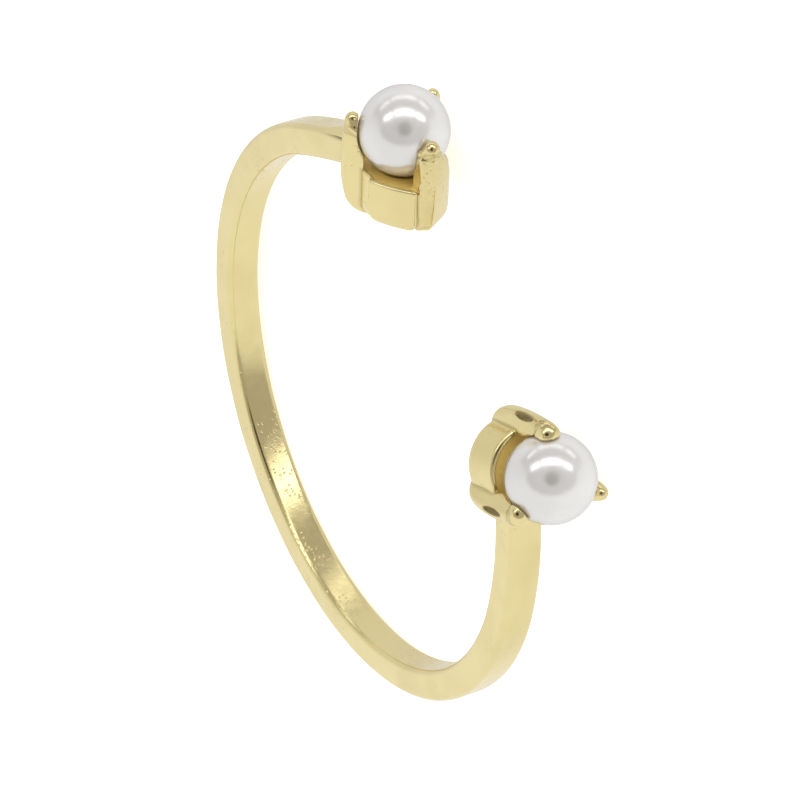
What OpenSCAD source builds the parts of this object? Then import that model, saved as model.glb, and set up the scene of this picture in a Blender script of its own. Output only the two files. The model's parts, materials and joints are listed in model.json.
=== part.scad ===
// Open cuff ring: a flat band bent to an open circle, with a pearl in a three-prong head at each end.
// It lies on its side as it rests on a table: both heads and the back of the band touch the surface.
// The origin is the centre of the finger hole. +X points at the middle of the gap.

/* [Band] */
// Inner diameter of the ring
finger_d = 18; // [14:0.5:24]
// Thickness of the band, from its inner to its outer face
band_t = 1.15; // [0.8:0.05:2]
// Width of the band, along the finger
band_w = 1.25; // [1:0.05:2]
// Rounding of the two outer edges of the band
outer_edge_r = 0.2; // [0.05:0.01:0.35]
// Rounding of the two inner edges of the band
inner_edge_r = 0.08; // [0.02:0.01:0.15]
// Angle from the middle of the gap to where the band's two ends begin to straighten
bend_from = 64; // [56:1:80]
// Inner radius of the straighter upper end
upper_bend_r = 40; // [13:1:60]
// Inner radius of the straighter lower end
lower_bend_r = 12; // [12:1:60]

/* [Pearls] */
// Diameter of each pearl
pearl_d = 3; // [2.5:0.1:4]
// Clearance between the pearl and the metal
pearl_gap = 0.04; // [0.02:0.01:0.1]

/* [Heads] */
// Angle from the middle of the gap to each pearl
head_angle = 29.9; // [26:0.1:40]
// How far the upper head leans back from the gap
upper_lean = 8; // [0:0.5:12]
// How far the lower head leans back from the gap
lower_lean = 3; // [0:0.5:12]
// How far the heads' feet stand out from the finger hole
foot_out = 0.32; // [0.2:0.02:0.5]
// Wall between the pearl's widest circle and the outside of a prong
prong_wall = 0.54; // [0.4:0.02:0.8]
// Width of a prong
prong_w = 0.94; // [0.8:0.02:1.3]
// Rounding of the ridge down the outside of a prong
ridge_r = 0.3; // [0.1:0.01:0.35]
// Radius of the curve down the outside of a prong
prong_curve_r = 4.5; // [3:0.5:30]
// How far below the pearl's centre a head is widest
belly_depth = 1.1; // [0.6:0.05:1.6]
// Radius of the round bead at a prong's tip
bead_r = 0.2; // [0.15:0.01:0.3]
// Height of a bead's centre above the pearl's centre
bead_lift = 0.44; // [0.2:0.02:0.8]
// Depth of the cup's rim below the pearl's centre
rim_depth = 1.15; // [0.9:0.05:1.2]
// Thickness of the cup's wall at the rim
cup_wall = 0.15; // [0.1:0.01:0.4]
// How far the cup's side stands back from the ridge of a prong
panel_inset = 0.53; // [0.35:0.02:0.7]
// Room below the pearl in the cup
hollow_depth = 0.1; // [0.05:0.01:0.3]
// Metal below the hollow of the cup
base_t = 1.35; // [1:0.05:2]
// Rounding of the head's lower edge
foot_round = 0.8; // [0.4:0.05:1]

/* [Hidden] */
$fn = 64;
GOLD = [0.9, 0.82, 0.5];
PEARL = [0.93, 0.92, 0.9];
PRONG_ANGLES = [0, 120, 240];

finger_r = finger_d / 2;
band_r = finger_r + band_t;
pearl_r = pearl_d / 2;
seat_r = pearl_r + pearl_gap;
prong_reach = seat_r + prong_wall;
ridge_c = prong_reach - ridge_r;
cup_r = prong_reach - panel_inset;
bead_c = sqrt((seat_r + bead_r) ^ 2 - bead_lift ^ 2);
head_low = -pearl_r - hollow_depth - base_t;

// Each end of the band turns about a centre of its own, on the line through the point where it begins
bend_rs = [upper_bend_r, lower_bend_r];
bend_overlap = 0.6;
seam = 0.01;
leans = [upper_lean, lower_lean];
pearl_at = (finger_r + foot_out - head_low) * [cos(head_angle), sin(head_angle)];
function bend_centre(end) = (finger_r - bend_rs[end]) * [cos(bend_from), sin(bend_from)];

// The band stops inside the metal of the head, half way up its base
function head_axis(end) = [cos(head_angle + leans[end]), sin(head_angle + leans[end])];
function stop_arm(end) = pearl_at + (head_low + base_t / 2) * head_axis(end) - bend_centre(end);
function stop_angle(end) = atan2(stop_arm(end)[1], stop_arm(end)[0]);

// On a table the ring leans until the back of its band touches down. Each head then rests on the lower of
// the two prongs beside the band, at the end of the straight stretch of its ridge.
ridge_side = [ridge_c + ridge_r * cos(30), ridge_r * sin(30)];
ridge_run = sqrt(prong_curve_r ^ 2 - (prong_curve_r - prong_reach + norm(ridge_side)) ^ 2);
contact = pearl_at - (belly_depth + ridge_run) * (head_axis(0) + head_axis(1)) / 2;
contact_x = contact[0] - ridge_c * sin(30) * sin(head_angle + (upper_lean + lower_lean) / 2);
lean_run = contact_x + band_r - outer_edge_r;
lean_rise = ridge_c * cos(30) - (band_w / 2 - outer_edge_r);
rest_tilt = atan2(lean_rise, lean_run) + asin((ridge_r - outer_edge_r) / norm([lean_run, lean_rise]));

// Cross-section of the band, with its inner face at the given radius, and slimmer all round by the given depth
module band_profile(inner_r, slim) {
    corners = [[inner_edge_r, inner_r + inner_edge_r], [outer_edge_r, inner_r + band_t - outer_edge_r]];
    for (corner = corners, side = [-1, 1])
        translate([corner[1], side * (band_w / 2 - corner[0])])
            circle(corner[0] - slim);
    translate([inner_r + inner_edge_r, slim - band_w / 2])
        square([band_t - inner_edge_r - outer_edge_r, band_w - 2 * slim]);
    translate([inner_r + slim, inner_edge_r - band_w / 2])
        square([band_t / 2, band_w - 2 * inner_edge_r]);
    translate([inner_r + band_t / 2, outer_edge_r - band_w / 2])
        square([band_t / 2 - slim, band_w - 2 * outer_edge_r]);
}

// The straighter ends run a little way into the round arc. They are slimmer than it all round by the seam.
module band() {
    rotate([0, 0, bend_from])
        rotate_extrude(angle = 360 - 2 * bend_from)
            band_profile(finger_r, 0);
    for (end = [0, 1])
        mirror([0, end, 0])
            translate(bend_centre(end))
                rotate([0, 0, stop_angle(end)])
                    rotate_extrude(angle = bend_from + bend_overlap - stop_angle(end))
                        band_profile(bend_rs[end], seam);
}

// Plan of one prong: parallel sides, then two flanks that meet in a rounded ridge
module prong_plan() {
    root_x = cup_r - ridge_r;
    flank = [ridge_c - root_x, prong_w / 2];
    lean = asin(ridge_r / norm(flank)) - atan2(flank[1], flank[0]);
    tangent = [ridge_c - ridge_r * sin(lean), ridge_r * cos(lean)];
    polygon([
        [0, -prong_w / 2], [root_x, -prong_w / 2], [tangent[0], -tangent[1]],
        tangent, [root_x, prong_w / 2], [0, prong_w / 2],
    ]);
    translate([ridge_c, 0])
        circle(ridge_r);
}

// Front of one prong: straight sides under a round top, drawn as [across, up]
module prong_front() {
    dome_z = bead_lift - prong_w / 2;
    translate([-prong_w / 2, head_low])
        square([prong_w, dome_z - head_low]);
    translate([0, dome_z])
        circle(prong_w / 2);
}

module prong() {
    intersection() {
        translate([0, 0, head_low])
            linear_extrude(bead_lift - head_low)
                prong_plan();
        rotate([90, 0, 90])
            linear_extrude(prong_reach)
                prong_front();
        prong_envelope();
    }
}

// A cylinder's profile with its lower edge rounded, from the head's foot up to the given height
module footed_profile(radius, top) {
    difference() {
        translate([0, head_low])
            square([radius, top - head_low]);
        translate([radius - foot_round, head_low])
            square(foot_round);
    }
    intersection() {
        translate([0, head_low])
            square([radius, foot_round]);
        translate([radius - foot_round, head_low + foot_round])
            circle(foot_round);
    }
}

// The outsides of the three prongs lie on one turned body, widest at its belly and rounded in at its foot
module prong_envelope() {
    foot_top = head_low + foot_round;
    foot_side = prong_reach - prong_curve_r + sqrt(prong_curve_r ^ 2 - (foot_top + belly_depth) ^ 2);
    rotate_extrude()
        intersection() {
            union() {
                footed_profile(foot_side, foot_top);
                translate([0, foot_top])
                    square([prong_reach, bead_lift - foot_top]);
            }
            translate([prong_reach - prong_curve_r, -belly_depth])
                circle(prong_curve_r);
        }
}

module cup() {
    rotate_extrude()
        footed_profile(cup_r, -rim_depth);
}

module cup_hollow() {
    sphere(seat_r);
    translate([0, 0, -pearl_r - hollow_depth])
        cylinder(r = cup_r - cup_wall, h = pearl_r + hollow_depth);
}

// The metal of a head, with the pearl's centre at its origin and one prong along +X
module head() {
    cup();
    for (angle = PRONG_ANGLES)
        rotate([0, 0, angle]) {
            prong();
            translate([bead_c, 0, bead_lift])
                sphere(bead_r);
        }
}

// Puts a head or a pearl on the upper end (0) or the lower end (1), with its +X towards the gap
module at_end(end) {
    mirror([0, end, 0])
        translate(pearl_at)
            rotate([0, 0, head_angle + leans[end]])
                rotate([0, 90, 0])
                    rotate([0, 0, -90])
                        children();
}

module as_it_rests() {
    rotate([0, -rest_tilt, 0])
        children();
}

module cuff() {
    color(GOLD)
        as_it_rests()
            difference() {
                union() {
                    band();
                    for (end = [0, 1])
                        at_end(end)
                            head();
                }
                for (end = [0, 1])
                    at_end(end)
                        cup_hollow();
            }
}

module pearl(end) {
    color(PEARL)
        as_it_rests()
            at_end(end)
                sphere(pearl_r);
}

cuff();
pearl(0);  // pearl_upper
pearl(1);  // pearl_lower
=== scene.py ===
import json
import math

import bmesh
import bpy
import numpy as np
from mathutils import Matrix, Vector


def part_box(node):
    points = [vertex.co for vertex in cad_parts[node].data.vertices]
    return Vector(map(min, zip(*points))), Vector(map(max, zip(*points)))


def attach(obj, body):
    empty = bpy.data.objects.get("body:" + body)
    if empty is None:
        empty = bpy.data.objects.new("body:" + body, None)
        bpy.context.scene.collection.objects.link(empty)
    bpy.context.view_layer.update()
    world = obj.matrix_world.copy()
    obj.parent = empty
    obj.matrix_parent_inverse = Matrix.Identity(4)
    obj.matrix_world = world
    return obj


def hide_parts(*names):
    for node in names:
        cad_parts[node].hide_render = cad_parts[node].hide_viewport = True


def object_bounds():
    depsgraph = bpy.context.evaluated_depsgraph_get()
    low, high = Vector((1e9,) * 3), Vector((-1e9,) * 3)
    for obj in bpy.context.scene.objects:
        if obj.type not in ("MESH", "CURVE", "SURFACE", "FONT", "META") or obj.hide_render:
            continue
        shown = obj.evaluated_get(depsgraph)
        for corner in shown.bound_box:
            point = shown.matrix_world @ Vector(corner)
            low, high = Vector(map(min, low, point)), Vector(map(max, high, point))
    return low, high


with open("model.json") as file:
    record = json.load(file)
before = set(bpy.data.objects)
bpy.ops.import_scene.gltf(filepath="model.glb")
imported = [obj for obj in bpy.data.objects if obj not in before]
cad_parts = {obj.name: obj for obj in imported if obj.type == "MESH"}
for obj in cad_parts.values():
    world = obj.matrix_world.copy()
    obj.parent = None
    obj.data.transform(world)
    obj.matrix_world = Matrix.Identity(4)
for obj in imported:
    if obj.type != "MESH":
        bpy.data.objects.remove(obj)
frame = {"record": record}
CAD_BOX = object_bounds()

MM = 0.001

# The ring's sizes, in millimetres. Those that the frame knows are read from it.
MOUNT = frame["record"]["mounts"][0]
TILT_SIN, TILT_COS = -MOUNT["axis"][0], MOUNT["axis"][2]
FINGER_R = MOUNT["dims"]["r_mm"]
BAND_T = 1.15
BAND_W = 1.25
OUTER_EDGE_R = 0.2
BEND_FROM = math.radians(64)
BEND_RS = {"upper": 40.0, "lower": 12.0}
LEANS = {"upper": math.radians(8), "lower": math.radians(3)}
SIDES = {"upper": 1, "lower": -1}

# The head, measured from the pearl's centre along the head's axis
PEARL_R = (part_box("pearl_upper")[1].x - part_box("pearl_upper")[0].x) / MM / 2
PEARL_GAP = 0.04
SEAT_R = PEARL_R + PEARL_GAP
PRONG_REACH = SEAT_R + 0.54
PRONG_W = 0.94
PRONG_CURVE_R = 4.5
RIDGE_R = 0.3
RIDGE_C = PRONG_REACH - RIDGE_R
BELLY_DEPTH = 1.1
CUP_R = PRONG_REACH - 0.53
RIM_DEPTH = 1.15
HOLLOW_DEPTH = 0.1
BASE_T = 1.35
HEAD_LOW = -PEARL_R - HOLLOW_DEPTH - BASE_T

# Finer shapes that the plain solids leave out
SKIN = 0.004
GRID_STEP = 0.034
INNER_EDGE_R = 0.2
PILLOW = 0.02
HOLLOW_R = 1.34
HOLLOW_FLOOR = -1.30
CUP_RS = {"upper": 1.46, "lower": CUP_R}
CUP_FOOT_ROUND = 0.55
RIM_ROUND = {"upper": 0.10, "lower": 0.18}
PRONG_ANGLES = [math.radians(a) for a in (0, 120, -120)]
# For each prong, its knob's distance from the head's axis, height and radius.
# The gap's prong comes first.
KNOBS = {"upper": ((1.735, 0.20, 0.29), (1.80, 0.33, 0.24), (1.66, 0.34, 0.26)),
         "lower": ((1.72, 0.14, 0.25), (1.71, 0.04, 0.25), (1.735, 0.31, 0.26))}
PRONG_TOPS = {"upper": (0.24, 0.35, 0.36), "lower": (0.58, 0.45, 0.36)}
# How far each prong's foot reaches to its two sides
FOOT_SIDES = {"upper": ((0.47, 0.47), (0.47, 0.47), (0.47, 0.60)), "lower": ((0.47, 0.47),) * 3}
# The middle of the leaf-shaped hollow in each prong, as outward, across and up
DENTS = {"upper": (None, (2.10, 0, -0.90), (2.10, 0, -0.90)),
         "lower": ((1.99, 0.20, -0.82), (1.99, -0.18, -0.92), (2.10, 0, -0.90))}
DENT_RADII = (0.20, 0.085, 0.52)
# Depths below the pearl's centre between which a prong's foot widens
PRONG_WIDENS = (0.3, 1.4)
KNOB_STRETCH = 1.15
# Faces of the upper head's gap prong, as directions and distances from the axis
GAP_LEFT_FACE = (math.radians(-25.0), 1.885)
GAP_RIGHT_FACE = (math.radians(32.0), 1.764)
GAP_SIDE = (math.radians(60.6), 1.48)
GAP_FAR_SIDE = (math.radians(152), 0)
GAP_ROOT = 0.3
# Its narrow side: how far across, how much wider at the foot, and the depths between which it widens
GAP_ACROSS, GAP_WIDER, GAP_WIDENS = 0.44, 0.07, (0.4, 1.2)
# The slope over its wide side: its steepness, and a depth and a place across that it passes through
GAP_SLOPE, GAP_SLOPE_DEPTH, GAP_SLOPE_ACROSS = 1.6, 0.44, 0.735
# The plate beside it: its direction, distance and bend, its stretch along itself, and the room behind it
PLATE_WAY, PLATE_OUT, PLATE_BEND_R = math.radians(-55.0), 1.66, 3.9
PLATE_FROM, PLATE_MIDDLE, PLATE_TO = -0.53, 0.36, 1.20
PLATE_WALL, PLATE_DEEP, PLATE_FOOT = 0.17, 0.8, 0.1
ROOM_INSET, ROOM_ACROSS = 0.13, 0.42
# Where the band's last stretch begins, on the side away from the gap
STUB_FROM = -2.15
# How wide and deep the seam round a prong is, how strong the painted shade in it is, and how strong the
# painted shade at its knob's neck
SEAM_WIDTH, SEAM_DEPTH, SEAM_SHADE, NECK_SHADE = 0.05, 0.025, 0.35, 0.3
# The grid that a head is meshed on
GRID_LOW = (-2.25, -2.25, HEAD_LOW - 0.8)
GRID_HIGH = (2.25, 2.25, 0.75)

# Along the band, from its upper end: the rings' spacing, the bevel's run-out and the swell by the head
PATH_STEP = 0.1
BEVEL_ENDS = (2.3, 4.3)
SWELL, SWELL_ENDS = 0.2, (2.0, 4.6)
# Depth and seed of the hand finish, on the outer face and on the two sides
OUTER_FINISH, OUTER_SEED = 0.014, 3
SIDE_FINISH, SIDE_SEED = 0.02, 5

# A pearl is this share of its solid, with slow waves over its skin
PEARL_SHARE, PEARL_SWELL, PEARL_WAVE = 0.997, 0.002, 2.2
PEARL_SEEDS = {"upper": 11, "lower": 12}


def as_it_rests(points):
    """Ring coordinates in millimetres to the row frame in metres. The ring leans about +Y."""
    x, y, z = np.asarray(points, float).T
    return np.column_stack([x * TILT_COS - z * TILT_SIN, y, x * TILT_SIN + z * TILT_COS]) * MM


def in_ring(point):
    """A point of the row frame, in metres, to ring coordinates in millimetres."""
    x, y, z = (v / MM for v in point)
    return np.array([x * TILT_COS + z * TILT_SIN, y, -x * TILT_SIN + z * TILT_COS])


PEARL_AT = in_ring((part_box("pearl_upper")[0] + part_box("pearl_upper")[1]) / 2)
HEAD_ANGLE = math.atan2(PEARL_AT[1], PEARL_AT[0])


def smooth_step(value, low, high):
    t = np.clip((value - low) / (high - low), 0, 1)
    return t * t * (3 - 2 * t)


def mesh_object(name, vertices, faces, marks=None, smooth=True):
    """A mesh with an optional named number at each vertex."""
    mesh = bpy.data.meshes.new(name)
    mesh.from_pydata([tuple(v) for v in vertices], [], [tuple(f) for f in faces])
    mesh.update()
    if smooth:
        mesh.polygons.foreach_set("use_smooth", [True] * len(mesh.polygons))
    for mark, values in (marks or {}).items():
        attribute = mesh.attributes.new(mark, "FLOAT", "POINT")
        attribute.data.foreach_set("value", np.asarray(values, np.float32))
    obj = bpy.data.objects.new(name, mesh)
    bpy.context.scene.collection.objects.link(obj)
    return obj


# Band

def bend_centre(end):
    return (FINGER_R - BEND_RS[end]) * np.array([math.cos(BEND_FROM), math.sin(BEND_FROM)])


def stop_angle(end):
    """Where the end's arc stops, inside the metal of its head, seen from the arc's own centre."""
    axis = HEAD_ANGLE + LEANS[end]
    stop = PEARL_AT[:2] + (HEAD_LOW + BASE_T / 2) * np.array([math.cos(axis), math.sin(axis)])
    arm = stop - bend_centre(end)
    return math.atan2(arm[1], arm[0])


def band_path(step):
    """Points on the inner face's middle line with their outward directions, from head to head."""
    rows = []
    for end in ("upper", "lower"):
        side, centre, radius = SIDES[end], bend_centre(end), BEND_RS[end]
        steps = 1 + int((BEND_FROM - stop_angle(end)) * radius / step)
        angles = np.linspace(stop_angle(end), BEND_FROM, steps)
        out = np.column_stack([np.cos(angles), np.sin(angles)])
        arc = np.hstack([centre + radius * out, out]) * [1, side, 1, side]
        rows.append(arc if side > 0 else arc[::-1])
    steps = int(2 * (math.pi - BEND_FROM) * FINGER_R / step)
    angles = np.linspace(BEND_FROM, 2 * math.pi - BEND_FROM, steps)
    out = np.column_stack([np.cos(angles), np.sin(angles)])
    round_part = np.hstack([FINGER_R * out, out])
    return np.vstack([rows[0][:-1], round_part, rows[1][1:]])


EDGE_POINTS = 15
FACE_POINTS = 7
CORNERS = ((1, 1, OUTER_EDGE_R), (0, 1, INNER_EDGE_R), (0, -1, INNER_EDGE_R), (1, -1, OUTER_EDGE_R))
# The filed bevel beside the upper head, and the groove under it, as (outward, across)
BEVEL = ((BAND_T, BAND_W / 2 - 0.2), (BAND_T - 0.27, BAND_W / 2 - 0.02))
GROOVE = ((BAND_T - 0.275, BAND_W / 2 - 0.03), (BAND_T - 0.29, BAND_W / 2 - 0.065),
          (BAND_T - 0.31, BAND_W / 2 - 0.07), (BAND_T - 0.335, BAND_W / 2 - 0.03),
          (BAND_T - 0.36, BAND_W / 2))
# Painted shade along the groove, one value for each of its points
GROOVE_SHADE = (0.5, 1, 1, 0.8, 0.2)


def rounded_corner(quarter):
    outer, side, r = CORNERS[quarter]
    centre = np.array([BAND_T - r if outer else r, side * (BAND_W / 2 - r)])
    angles = (quarter + np.linspace(0, 1, EDGE_POINTS)) * math.pi / 2
    return centre + r * np.column_stack([np.cos(angles), np.sin(angles)])


def bevelled_corner():
    steps = EDGE_POINTS - len(GROOVE)
    slope = np.linspace(BEVEL[0], BEVEL[1], steps)
    return np.vstack([slope, GROOVE])


def band_section(bevel):
    """Cross-section as (outward, across), and the painted shade at each point, which lies in the groove.
    """
    corners = [rounded_corner(quarter) for quarter in range(4)]
    corners[0] = corners[0] * (1 - bevel) + bevelled_corner() * bevel
    points, painted_shade = [], []
    for quarter, corner in enumerate(corners):
        following = corners[(quarter + 1) % 4][0]
        shares = np.linspace(0, 1, FACE_POINTS + 2)[1:-1, None]
        points += [corner, corner[-1] * (1 - shares) + following * shares]
        shade = np.zeros(EDGE_POINTS + FACE_POINTS)
        if quarter == 0:
            # Painted shade on the groove's points, fading out with the bevel
            shade[EDGE_POINTS - len(GROOVE):EDGE_POINTS] = bevel * np.array(GROOVE_SHADE)
        painted_shade.append(shade)
    points = np.vstack(points)
    middle = np.array([BAND_T / 2, 0])
    half = np.array([BAND_T / 2, BAND_W / 2])
    share = (points - middle) / half
    points = middle + (points - middle) * (1 - PILLOW * share[:, ::-1] ** 2) * (1 - SKIN / half)
    return points, np.concatenate(painted_shade)


def hand_finish(along, seed, depth, lengths=(2.3, 4.1, 7.9)):
    """Slow unevenness left by filing and polishing, always inwards."""
    rng = np.random.default_rng(seed)
    waves = sum(np.sin(2 * math.pi * along / length + rng.uniform(0, 2 * math.pi)) for length in lengths)
    return depth * (waves / len(lengths) - 1) / 2


def make_band():
    path = band_path(PATH_STEP)
    along = np.concatenate([[0], np.cumsum(np.linalg.norm(np.diff(path[:, :2], axis=0), axis=1))])
    bevel = 1 - smooth_step(along, *BEVEL_ENDS)
    swell = SWELL * (1 - smooth_step(along, *SWELL_ENDS))
    outer_face = hand_finish(along, OUTER_SEED, OUTER_FINISH) + swell
    side_faces = hand_finish(along, SIDE_SEED, SIDE_FINISH)
    rings, painted_shade = [], []
    for i, (x, y, out_x, out_y) in enumerate(path):
        section, shade = band_section(bevel[i])
        u = section[:, 0] * (1 + outer_face[i] / BAND_T)
        w = section[:, 1] * (1 + side_faces[i] / BAND_W)
        rings.append(np.column_stack([x + u * out_x, y + u * out_y, w]))
        painted_shade.append(shade)
    count, size = len(rings), len(rings[0])
    faces = []
    for i in range(count - 1):
        here, there = i * size, (i + 1) * size
        for j in range(size):
            beside = (j + 1) % size
            faces.append((here + j, there + j, there + beside, here + beside))
    faces += [tuple(range(size)), tuple((count - 1) * size + j for j in reversed(range(size)))]
    painted_shade = np.concatenate(painted_shade)
    # painted_shade carries the painted shade in the groove
    marks = {"painted_shade": painted_shade, "inside": np.zeros(len(painted_shade)), "polish": np.zeros(len(painted_shade))}
    return mesh_object("band", as_it_rests(np.vstack(rings)), faces, marks)


# Heads, each meshed from the distance to its surface

def soft_min(a, b, k):
    """The smaller of two distances, with a fillet of about k where they cross."""
    h = np.maximum(k - np.abs(a - b), 0) / k
    return np.minimum(a, b) - h * h * k / 4


def soft_max(a, b, k):
    return -soft_min(-a, -b, k)


def rounded_box_2d(x, y, half_x, half_y, r):
    qx, qy = np.abs(x) - half_x + r, np.abs(y) - half_y + r
    return np.hypot(np.maximum(qx, 0), np.maximum(qy, 0)) + np.minimum(np.maximum(qx, qy), 0) - r


def ellipsoid(x, y, z, centre, radii):
    offsets = [(v - c) for v, c in zip((x, y, z), centre)]
    near = np.sqrt(sum((v / r) ** 2 for v, r in zip(offsets, radii)))
    slope = np.sqrt(sum((v / r ** 2) ** 2 for v, r in zip(offsets, radii)))
    return near * (near - 1) / np.maximum(slope, 1e-6)


def beyond_face(x, y, face):
    """Distance beyond an upright flat face, given as its direction and its distance from the axis."""
    way, reach = face
    return x * math.cos(way) + y * math.sin(way) - reach


def cup_distance(rho, z, end):
    body = rounded_box_2d(rho, z, CUP_RS[end], -HEAD_LOW, CUP_FOOT_ROUND)
    return soft_max(body, z + RIM_DEPTH, RIM_ROUND[end])


def prong_distance(x, y, z, top, foot_sides):
    """One prong, with x outward and y across it.

    Two flanks meet in a rounded ridge, under a round top."""
    root_x = CUP_R - RIDGE_R
    flank = np.array([RIDGE_C - root_x, PRONG_W / 2])
    lean = math.asin(RIDGE_R / np.linalg.norm(flank)) - math.atan2(flank[1], flank[0])
    across = np.abs(y)
    foot_side = np.where(y > 0, foot_sides[1], foot_sides[0])
    wider = smooth_step(-z, *PRONG_WIDENS) * (foot_side - PRONG_W / 2)
    normal_x, normal_y = -math.sin(lean), math.cos(lean)
    flank_face = (x - root_x) * normal_x + (across - wider - PRONG_W / 2) * normal_y
    ridge = np.hypot(x - RIDGE_C, y) - RIDGE_R
    beyond = (x - RIDGE_C) * normal_y - across * normal_x > 0
    plan = np.where(beyond, ridge, flank_face)
    plan = soft_max(plan, across - wider - PRONG_W / 2, 0.12)
    aside = np.maximum(across - wider, 0)
    front = np.hypot(aside, np.maximum(z - top + PRONG_W / 2, 0)) - PRONG_W / 2
    rho = np.hypot(x, y)
    barrel = np.hypot(rho - (PRONG_REACH - PRONG_CURVE_R), z + BELLY_DEPTH) - PRONG_CURVE_R
    body = soft_max(barrel, HEAD_LOW - z, 0.6)
    return soft_max(soft_max(plan, front, 0.08), soft_max(body, -x, 0.1), 0.2)


def gap_prong_distance(x, y, z, top):
    """The upper head's gap prong: two flat faces that meet in a blunt ridge.

    One runs into the cup's wall."""
    bulge = PRONG_CURVE_R - np.sqrt(PRONG_CURVE_R ** 2 - (z + BELLY_DEPTH) ** 2)
    bulge = bulge * np.where(z < -BELLY_DEPTH, 0.5, 1.0)
    faces = soft_max(beyond_face(x, y, GAP_LEFT_FACE), beyond_face(x, y, GAP_RIGHT_FACE), 0.04) + bulge
    left = -y - GAP_ACROSS - GAP_WIDER * smooth_step(-z, *GAP_WIDENS)
    slope = z + GAP_SLOPE_DEPTH + GAP_SLOPE * (y - GAP_SLOPE_ACROSS)
    slope = slope / math.hypot(1, GAP_SLOPE)
    right = soft_max(beyond_face(x, y, GAP_SIDE), slope, 0.2)
    body = soft_max(soft_max(faces, left, 0.08), right, 0.2)
    body = soft_max(soft_max(body, z - top, 0.3), HEAD_LOW - z, 0.5)
    far_side = beyond_face(x, y, GAP_FAR_SIDE)
    return soft_max(body, soft_max(far_side, GAP_ROOT - x, 0.1), 0.1)


def plate_distances(x, y, z):
    """Distances to the upper head's nearly flat plate and to the room behind it."""
    along = beyond_face(x, y, (PLATE_WAY + math.pi / 2, 0))
    outward = beyond_face(x, y, (PLATE_WAY, PLATE_OUT - PLATE_BEND_R))
    face = np.hypot(along - PLATE_MIDDLE, outward) - PLATE_BEND_R
    ends = np.maximum(PLATE_FROM - along, along - PLATE_TO)
    rim = soft_max(z + RIM_DEPTH, PLATE_BEND_R - PLATE_DEEP - outward, 0.05)
    plate = soft_max(soft_max(face, ends, 0.1), rim, 0.1)
    plate = soft_max(plate, HEAD_LOW + PLATE_FOOT - z, 0.6)
    sides = np.maximum(PLATE_FROM + ROOM_INSET - along, y + ROOM_ACROSS)
    room = np.maximum(face + PLATE_WALL, sides)
    return plate, room


def head_distances(points, end):
    """Two distances to a head's metal, and the painted shade at each point in a seam, dent or knob's neck.
    +X is towards the gap.

    The first is before the room for the pearl is cut and the second after it."""
    x, y, z = points
    rho = np.hypot(x, y)
    cup = cup_distance(rho, z, end)
    hollow = rho - HOLLOW_R
    if end == "upper":
        plate, plate_room = plate_distances(x, y, z)
        cup = soft_min(cup, plate, 0.05)
        hollow = soft_min(hollow, plate_room, 0.1)
    metal = cup
    shade_in_creases = np.zeros_like(x)
    for k, angle in enumerate(PRONG_ANGLES):
        c, s = math.cos(angle), math.sin(angle)
        px, py = x * c + y * s, -x * s + y * c
        out, up, radius = KNOBS[end][k]
        top = PRONG_TOPS[end][k]
        if end == "upper" and k == 0:
            prong = gap_prong_distance(x, y, z, top)
        else:
            prong = prong_distance(px, py, z, top, FOOT_SIDES[end][k])
        # Painted shade in the seam round the prong, which is also cut in a little
        seam = np.exp(-((prong - cup) / SEAM_WIDTH) ** 2)
        shade = SEAM_SHADE * seam
        if DENTS[end][k]:
            dent = ellipsoid(px, py, z, DENTS[end][k], DENT_RADII)
            prong = soft_max(prong, -dent, 0.05)
            # Painted shade in the dent
            shade = np.maximum(shade, 1 - smooth_step(dent, 0.0, 0.05))
        knob = ellipsoid(px, py, z, (out, 0, up), (radius, radius, KNOB_STRETCH * radius))
        # Painted shade under the knob, in the crease where it meets the prong
        neck = np.exp(-((knob - prong) / SEAM_WIDTH) ** 2) * smooth_step(up - z, -0.05, 0.15)
        prong = soft_min(prong, knob, 0.14)
        metal = soft_min(metal, prong, 0.08) + SEAM_DEPTH * seam
        shade_in_creases = np.maximum(shade_in_creases, np.maximum(shade, NECK_SHADE * neck))
    metal = soft_min(metal, band_end_distance(points, end), 0.3)
    seat = np.sqrt(x * x + y * y + z * z) - SEAT_R
    hollow = soft_max(hollow, HOLLOW_FLOOR - z, 0.1)
    room = soft_min(seat, hollow, 0.06)
    return metal, soft_max(metal, -room, 0.06) + SKIN, shade_in_creases


def head_axes(end):
    """The head's axes in ring coordinates, as rows: towards the gap, across the band, along the head."""
    a, side = HEAD_ANGLE + LEANS[end], SIDES[end]
    to_gap = [math.sin(a), -side * math.cos(a), 0]
    along_head = [math.cos(a), side * math.sin(a), 0]
    return np.array([to_gap, [0, 0, -side], along_head])


def band_end_distance(points, end):
    """Distance to the last stretch of the band, a little inside its surface, up to the head's middle."""
    side = SIDES[end]
    local = np.stack(points, axis=-1)
    ring = local @ head_axes(end) + PEARL_AT * [1, side, 1]
    centre, radius = bend_centre(end), BEND_RS[end] + BAND_T / 2
    out = np.hypot(ring[..., 0] - centre[0], side * ring[..., 1] - centre[1]) - radius
    bar = rounded_box_2d(out, ring[..., 2], BAND_T / 2, BAND_W / 2, 0.35) + 0.03
    return np.maximum(bar, np.maximum(points[0], STUB_FROM - points[0]))


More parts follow.
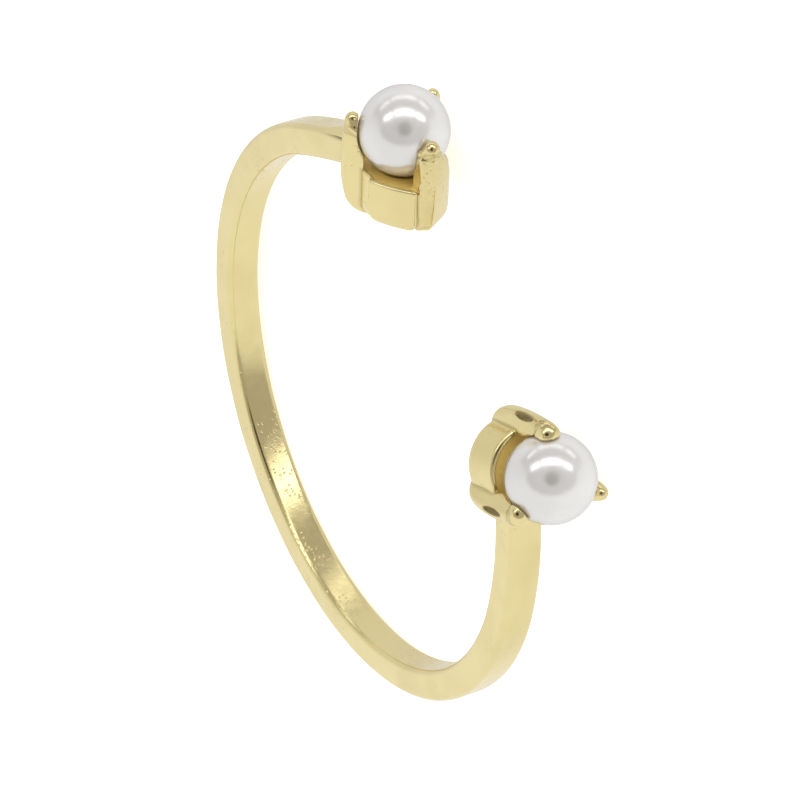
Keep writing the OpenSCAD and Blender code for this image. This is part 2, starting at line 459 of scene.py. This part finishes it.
def surface_nets(values, low, step):
    """The zero surface of a grid of distances, as vertices and quads that face outwards.

    Each cell gets one vertex. Where two stretches of the surface share a cell, the mesh touches itself."""
    shape = np.array(values.shape)
    total = np.zeros((*(shape - 1), 3), np.float64)
    count = np.zeros(shape - 1, np.int32)
    crossings = []
    for axis in range(3):
        first = [slice(None)] * 3
        second = [slice(None)] * 3
        first[axis], second[axis] = slice(0, -1), slice(1, None)
        a, b = values[tuple(first)], values[tuple(second)]
        edges = np.argwhere((a < 0) != (b < 0))
        fa, fb = a[tuple(edges.T)], b[tuple(edges.T)]
        points = edges.astype(float)
        points[:, axis] += fa / (fa - fb)
        u, v = (axis + 1) % 3, (axis + 2) % 3
        inside = (edges[:, u] > 0) & (edges[:, v] > 0)
        inside &= (edges[:, u] < shape[u] - 1) & (edges[:, v] < shape[v] - 1)
        edges, points, fa = edges[inside], points[inside], fa[inside]
        cells = []
        for du, dv in ((1, 1), (0, 1), (0, 0), (1, 0)):
            cell = edges.copy()
            cell[:, u] -= du
            cell[:, v] -= dv
            np.add.at(total, tuple(cell.T), points)
            np.add.at(count, tuple(cell.T), 1)
            cells.append(cell)
        crossings.append((cells, fa < 0))
    used = count > 0
    index = np.full(count.shape, -1)
    index[used] = np.arange(used.sum())
    vertices = low + step * (total[used] / count[used][:, None])
    quads = []
    for cells, outward in crossings:
        q = np.column_stack([index[tuple(c.T)] for c in cells])
        quads.append(np.where(outward[:, None], q, q[:, ::-1]))
    return vertices, np.vstack(quads)


def onto_surface(points, distance, rounds=2, reach=0.004):
    """Moves each point along the distance's slope, close to the surface. Two points may meet there."""
    for _ in range(rounds):
        value = distance(points.T)
        slope = np.empty_like(points)
        for axis in range(3):
            shift = np.zeros(3)
            shift[axis] = reach
            slope[:, axis] = (distance((points + shift).T) - distance((points - shift).T)) / (2 * reach)
        size = np.maximum((slope ** 2).sum(1), 0.1)
        points = points - slope * np.clip(value / size, -GRID_STEP, GRID_STEP)[:, None]
    return points


def make_head(end):
    low = np.array(GRID_LOW)
    axes = [np.arange(a, b, GRID_STEP) for a, b in zip(GRID_LOW, GRID_HIGH)]

    def distance(points):
        return head_distances(tuple(points), end)[1]

    values = distance(np.meshgrid(*axes, indexing="ij"))
    vertices, quads = surface_nets(values, low, GRID_STEP)
    vertices = onto_surface(vertices, distance)
    uncut, cut, shade_in_creases = head_distances(tuple(vertices.T), end)
    inside = smooth_step(cut - uncut, 0.02, 0.12)
    knobs = smooth_step(vertices[:, 2], -0.2, 0.1) * (1 - inside)
    ring = vertices @ head_axes(end) + PEARL_AT * [1, SIDES[end], 1]
    # Painted shade in the creases, kept off the inside of the cup
    marks = {"painted_shade": shade_in_creases * (1 - inside), "inside": inside, "polish": knobs}
    return mesh_object(f"head_{end}", as_it_rests(ring), quads, marks)


# Pearls

def make_pearl(end):
    """A pearl, nearly round, with the faint unevenness of its skin."""
    low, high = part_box(f"pearl_{end}")
    centre, radius = (low + high) / 2, (high.x - low.x) / 2
    mesh = bpy.data.meshes.new(f"lustre_{end}")
    bm = bmesh.new()
    bmesh.ops.create_icosphere(bm, subdivisions=6, radius=1)
    rng = np.random.default_rng(PEARL_SEEDS[end])
    ways = rng.normal(size=(6, 3))
    phases = rng.uniform(0, 2 * math.pi, 6)
    for v in bm.verts:
        waves = (math.sin(PEARL_WAVE * v.co.dot(Vector(w)) + p) for w, p in zip(ways, phases))
        swell = sum(waves) / len(ways)
        v.co = centre + v.co * radius * (PEARL_SHARE + PEARL_SWELL * swell)
    bm.to_mesh(mesh)
    bm.free()
    mesh.polygons.foreach_set("use_smooth", [True] * len(mesh.polygons))
    obj = bpy.data.objects.new(f"lustre_{end}", mesh)
    bpy.context.scene.collection.objects.link(obj)
    return obj


# Materials

class Nodes:
    """Short ways to add nodes to a material's or the world's tree."""

    def __init__(self, owner):
        owner.use_nodes = True
        self.tree = owner.node_tree

    def add(self, kind, **settings):
        node = self.tree.nodes.new(kind)
        for name, value in settings.items():
            setattr(node, name, value)
        return node

    def feed(self, socket, value):
        if isinstance(value, bpy.types.NodeSocket):
            self.tree.links.new(value, socket)
        elif value is not None:
            socket.default_value = value

    def math(self, operation, *values):
        node = self.add("ShaderNodeMath", operation=operation)
        for socket, value in zip(node.inputs, values):
            self.feed(socket, value)
        return node.outputs[0]

    def times(self, *values):
        result = values[0]
        for value in values[1:]:
            result = self.math("MULTIPLY", result, value)
        return result

    def dot(self, a, b):
        node = self.add("ShaderNodeVectorMath", operation="DOT_PRODUCT")
        self.feed(node.inputs[0], a)
        self.feed(node.inputs[1], b)
        return node.outputs["Value"]

    def ramp(self, value, low, high, to_low=0.0, to_high=1.0):
        """Smooth step of value from low to high."""
        node = self.add("ShaderNodeMapRange", interpolation_type="SMOOTHSTEP")
        names = ("Value", "From Min", "From Max", "To Min", "To Max")
        for name, v in zip(names, (value, low, high, to_low, to_high)):
            self.feed(node.inputs[name], v)
        return node.outputs["Result"]

    def between(self, value, low, high, soft):
        """One from low to high, with soft sides."""
        rise = self.ramp(value, low - soft, low + soft)
        fall = self.ramp(value, high - soft, high + soft, 1.0, 0.0)
        return self.times(rise, fall)

    def mix(self, factor, a, b):
        node = self.add("ShaderNodeMix", data_type="RGBA")
        sockets = {s.identifier: s for s in node.inputs}
        self.feed(sockets["Factor_Float"], factor)
        self.feed(sockets["A_Color"], a)
        self.feed(sockets["B_Color"], b)
        return [s for s in node.outputs if s.identifier == "Result_Color"][0]

    def noise(self, vector, scale, detail=3.0, roughness=0.5):
        node = self.add("ShaderNodeTexNoise")
        self.feed(node.inputs["Vector"], vector)
        node.inputs["Scale"].default_value = scale
        node.inputs["Detail"].default_value = detail
        node.inputs["Roughness"].default_value = roughness
        return node.outputs["Fac"]

    def cells(self, vector, scale, share):
        """Distance from the middle of each cell, and one for the given share of all cells."""
        node = self.add("ShaderNodeTexVoronoi", feature="F1")
        self.feed(node.inputs["Vector"], vector)
        node.inputs["Scale"].default_value = scale
        chosen = self.math("GREATER_THAN", self.dot(node.outputs["Color"], (1.0, 0.0, 0.0)), 1 - share)
        return node.outputs["Distance"], chosen

    def mark(self, name):
        return self.add("ShaderNodeAttribute", attribute_name=name).outputs["Fac"]

    def bump(self, height, distance, strength=1.0, normal=None):
        node = self.add("ShaderNodeBump")
        self.feed(node.inputs["Height"], height)
        node.inputs["Distance"].default_value = distance
        node.inputs["Strength"].default_value = strength
        self.feed(node.inputs["Normal"], normal)
        return node.outputs["Normal"]


# Colours, as red, green, blue and one
GOLD_TONES = ((0.775, 0.655, 0.325, 1), (0.82, 0.70, 0.36, 1))
# Painted shade in hollows
GOLD_CREASE_SHADE = (0.50, 0.37, 0.15, 1)
# Painted glow of light bouncing inside the cup
GOLD_INSIDE_GLOW = (1.0, 0.77, 0.25, 1)
# Painted shade for seams, dents, knob necks and the band's groove
GOLD_PAINTED_SHADE = (0.13, 0.09, 0.02, 1)
PEARL_TONES = ((0.77, 0.755, 0.74, 1), (0.81, 0.795, 0.775, 1))
# Painted shade towards the pearl's edge, as seen from the camera
PEARL_EDGE_SHADE = (0.50, 0.48, 0.465, 1)
PEARL_SPECK = (0.38, 0.36, 0.33, 1)
FLOOR_TONES = ((0.93, 0.93, 0.93, 1), (0.95, 0.95, 0.95, 1))
TENT_BELOW, TENT_ABOVE = (1.0, 1.0, 1.0, 1), (0.83, 0.83, 0.83, 1)
TENT_FRONT = (0.50, 0.485, 0.475, 1)
TENT_LENS = (0.06, 0.04, 0.02, 1)
TENT_LAMPS = (0.97, 0.97, 1.0, 1)
# Heights of the bumps in the finish, in metres
WAVE_HEIGHT, GRAIN_HEIGHT, PIT_DEPTH = 0.00005, 0.000004, 0.000016
PEARL_GRAIN_HEIGHT = 0.000006


def gold_material():
    """Pale gold plating over cast metal: polished, slightly wavy, with sparse casting pits, painted shade
    in creases and a painted glow inside the cup.
    """
    material = bpy.data.materials.new("pale_gold")
    nodes = Nodes(material)
    shader = nodes.tree.nodes["Principled BSDF"]
    place = nodes.add("ShaderNodeTexCoord").outputs["Object"]
    inside, painted_shade, polish = nodes.mark("inside"), nodes.mark("painted_shade"), nodes.mark("polish")
    # Painted shade where the surface is hollow
    crease_shade = nodes.ramp(nodes.add("ShaderNodeNewGeometry").outputs["Pointiness"], 0.42, 0.49, 1.0, 0.0)

    tone = nodes.ramp(nodes.noise(place, 420, detail=2), 0.35, 0.65)
    colour = nodes.mix(tone, *GOLD_TONES)
    colour = nodes.mix(nodes.times(crease_shade, 0.3), colour, GOLD_CREASE_SHADE)
    # Inside the cup: a brighter amber that paints the glow of light bouncing there
    colour = nodes.mix(inside, colour, GOLD_INSIDE_GLOW)
    # Painted shade in seams, dents, knob necks and the groove
    colour = nodes.mix(nodes.times(painted_shade, 0.85), colour, GOLD_PAINTED_SHADE)
    nodes.feed(shader.inputs["Base Color"], colour)
    nodes.feed(shader.inputs["Metallic"], nodes.math("SUBTRACT", 1.0, nodes.times(inside, 0.75)))
    haze = nodes.ramp(nodes.noise(place, 2600, detail=4, roughness=0.6), 0.3, 0.75, 0.17, 0.27)
    haze = nodes.math("MULTIPLY_ADD", polish, -0.09, haze)
    nodes.feed(shader.inputs["Roughness"], nodes.math("ADD", haze, nodes.times(inside, 0.22)))

    wave = nodes.bump(nodes.noise(place, 650, detail=1), WAVE_HEIGHT, 0.35)
    grain = nodes.bump(nodes.noise(place, 9000, detail=3), GRAIN_HEIGHT, 0.5, wave)
    distance, chosen = nodes.cells(place, 8500, 0.4)
    patch = nodes.ramp(nodes.noise(place, 520, detail=0), 0.48, 0.58)
    pits = nodes.times(nodes.ramp(distance, 0.15, 0.45, -1.0, 0.0), chosen, patch)
    nodes.feed(shader.inputs["Normal"], nodes.bump(pits, PIT_DEPTH, 0.6, grain))
    return material


def pearl_material():
    """White pearl: a soft body under a bright skin, with a faintly grey and rosy painted shade towards its
    edge.
    """
    material = bpy.data.materials.new("white_pearl")
    nodes = Nodes(material)
    shader = nodes.tree.nodes["Principled BSDF"]
    place = nodes.add("ShaderNodeTexCoord").outputs["Object"]
    facing = nodes.add("ShaderNodeLayerWeight")
    facing.inputs["Blend"].default_value = 0.35
    cloud = nodes.ramp(nodes.noise(place, 900, detail=3), 0.35, 0.7)
    body = nodes.mix(cloud, *PEARL_TONES)
    # Painted shade towards the edge, set by the angle to the view
    body = nodes.mix(nodes.ramp(facing.outputs["Facing"], 0.3, 0.9), body, PEARL_EDGE_SHADE)
    distance, chosen = nodes.cells(place, 1500, 0.06)
    speck = nodes.times(nodes.ramp(distance, 0.05, 0.11, 1.0, 0.0), chosen)
    nodes.feed(shader.inputs["Base Color"], nodes.mix(nodes.times(speck, 0.5), body, PEARL_SPECK))
    haze = nodes.noise(place, 3000, detail=4)
    nodes.feed(shader.inputs["Roughness"], nodes.ramp(haze, 0.3, 0.7, 0.18, 0.24))
    shader.inputs["Metallic"].default_value = 0.5
    shader.inputs["Coat Weight"].default_value = 0.5
    shader.inputs["Coat IOR"].default_value = 1.5
    shader.inputs["Coat Roughness"].default_value = 0.06
    grain = nodes.bump(nodes.noise(place, 2400, detail=3), PEARL_GRAIN_HEIGHT, 0.4)
    nodes.feed(shader.inputs["Normal"], grain)
    return material


def floor_material():
    material = bpy.data.materials.new("pale_floor")
    nodes = Nodes(material)
    shader = nodes.tree.nodes["Principled BSDF"]
    place = nodes.add("ShaderNodeTexCoord").outputs["Object"]
    nodes.feed(shader.inputs["Base Color"], nodes.mix(nodes.noise(place, 60), *FLOOR_TONES))
    shader.inputs["Roughness"].default_value = 0.9
    shader.inputs["Specular IOR Level"].default_value = 0.0
    shader.inputs["Emission Color"].default_value = (1.0, 1.0, 1.0, 1)
    shader.inputs["Emission Strength"].default_value = 0.6
    return material


# Camera. Its axes and distance were fitted to the ring's outline in the photo.
VIEW_BACK = Vector((0.8645, -0.1913, 0.4648)).normalized()
VIEW_UP = Vector((0.3370, 0.9068, -0.2535))
VIEW_RIGHT = VIEW_UP.cross(VIEW_BACK).normalized()
VIEW_UP = VIEW_BACK.cross(VIEW_RIGHT)
VIEW_DISTANCE = 0.15664
FOCAL_PX = 4641.0
IMAGE_W, IMAGE_H = 806, 800
RING_CENTRE_PX = (370.57, 410.16)
SENSOR_W = 36.0
# The overhead lamp, in metres and watts
LAMP_AT, LAMP_SIZE, LAMP_WATTS = (0.16, 0.02, 0.38), 0.45, 0.2


def make_camera():
    data = bpy.data.cameras.new("camera")
    data.sensor_fit = "HORIZONTAL"
    data.sensor_width = SENSOR_W
    data.lens = FOCAL_PX / IMAGE_W * data.sensor_width
    data.clip_start, data.clip_end = 0.01, 10.0
    camera = bpy.data.objects.new("camera", data)
    bpy.context.scene.collection.objects.link(camera)
    scale = VIEW_DISTANCE / FOCAL_PX
    aim_right = (IMAGE_W / 2 - RING_CENTRE_PX[0]) * scale
    aim_up = (RING_CENTRE_PX[1] - IMAGE_H / 2) * scale
    aim = aim_right * VIEW_RIGHT + aim_up * VIEW_UP
    back = (VIEW_BACK * VIEW_DISTANCE - aim).normalized()
    right = VIEW_UP.cross(back).normalized()
    up = back.cross(right)
    turn = Matrix((right, up, back)).transposed().to_4x4()
    camera.matrix_world = Matrix.Translation(VIEW_BACK * VIEW_DISTANCE) @ turn
    bpy.context.scene.camera = camera


def make_floor():
    lowest = CAD_BOX[0].z
    half = 1.5
    corners = [(x, y, lowest) for x, y in ((-half, -half), (half, -half), (half, half), (-half, half))]
    floor = mesh_object("floor", corners, [(0, 1, 2, 3)], smooth=False)
    floor.data.materials.append(floor_material())
    floor.visible_glossy = False


def make_light_tent():
    """A white tent with a grey front, where two rows of lamps hang over a dark lens."""
    world = bpy.data.worlds.new("light_tent")
    bpy.context.scene.world = world
    nodes = Nodes(world)
    way = nodes.add("ShaderNodeTexCoord").outputs["Generated"]
    right, up, back = (nodes.dot(way, tuple(v)) for v in (VIEW_RIGHT, VIEW_UP, VIEW_BACK))
    rise = nodes.math("ARCTAN2", up, back)
    aside = nodes.math("ABSOLUTE", right)
    below = nodes.math("MINIMUM", up, 0.0)
    spread = nodes.math("ADD", nodes.times(right, right, 1.16), nodes.times(below, below, 2.04))
    front = nodes.times(nodes.ramp(spread, 0.80, 1.05, 1.0, 0.0), nodes.between(rise, -1.4, 1.75, 0.06))
    lens = nodes.ramp(back, 0.935, 0.97)
    tent = nodes.mix(nodes.ramp(up, -0.3, 0.3), TENT_BELOW, TENT_ABOVE)
    tent = nodes.mix(front, tent, TENT_FRONT)
    tent = nodes.mix(lens, tent, TENT_LENS)
    middle = nodes.ramp(aside, 0.37, 0.40, 1.0, 0.0)
    sides = nodes.between(aside, 0.45, 0.76, 0.02)
    lengthwise = nodes.math("ADD", middle, sides)
    level = nodes.math("ADD", rise, nodes.times(right, right, 0.3))
    near_row = nodes.times(nodes.between(level, 0.60, 0.90, 0.07), 1.7)
    far_row = nodes.times(nodes.between(level, 1.42, 1.66, 0.07), 0.7)
    lamps = nodes.times(nodes.math("ADD", near_row, far_row), lengthwise)
    tent = nodes.mix(nodes.math("MINIMUM", lamps, 1.0), tent, TENT_LAMPS)
    background = nodes.tree.nodes["Background"]
    nodes.feed(background.inputs["Color"], tent)
    nodes.feed(background.inputs["Strength"], nodes.math("ADD", 1.0, lamps))


def make_lamp():
    """A large soft lamp overhead, which lights the floor and gives a faint contact shadow."""
    data = bpy.data.lights.new("overhead", "AREA")
    data.shape = "DISK"
    data.size = LAMP_SIZE
    data.energy = LAMP_WATTS
    lamp = bpy.data.objects.new("overhead", data)
    bpy.context.scene.collection.objects.link(lamp)
    lamp.location = LAMP_AT
    lamp.rotation_mode = "QUATERNION"
    lamp.rotation_quaternion = Vector(lamp.location).to_track_quat("Z", "Y")
    lamp.visible_glossy = False


bpy.context.scene.view_settings.view_transform = "Standard"
make_camera()
make_floor()
make_light_tent()
make_lamp()

gold = gold_material()
pearl = pearl_material()

metal = [make_band(), make_head("upper"), make_head("lower")]
for piece in metal:
    piece.data.materials.append(gold)
    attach(piece, "root")
    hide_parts("cuff")
for end in SIDES:
    piece = make_pearl(end)
    piece.data.materials.append(pearl)
    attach(piece, "root")
    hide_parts(f"pearl_{end}")
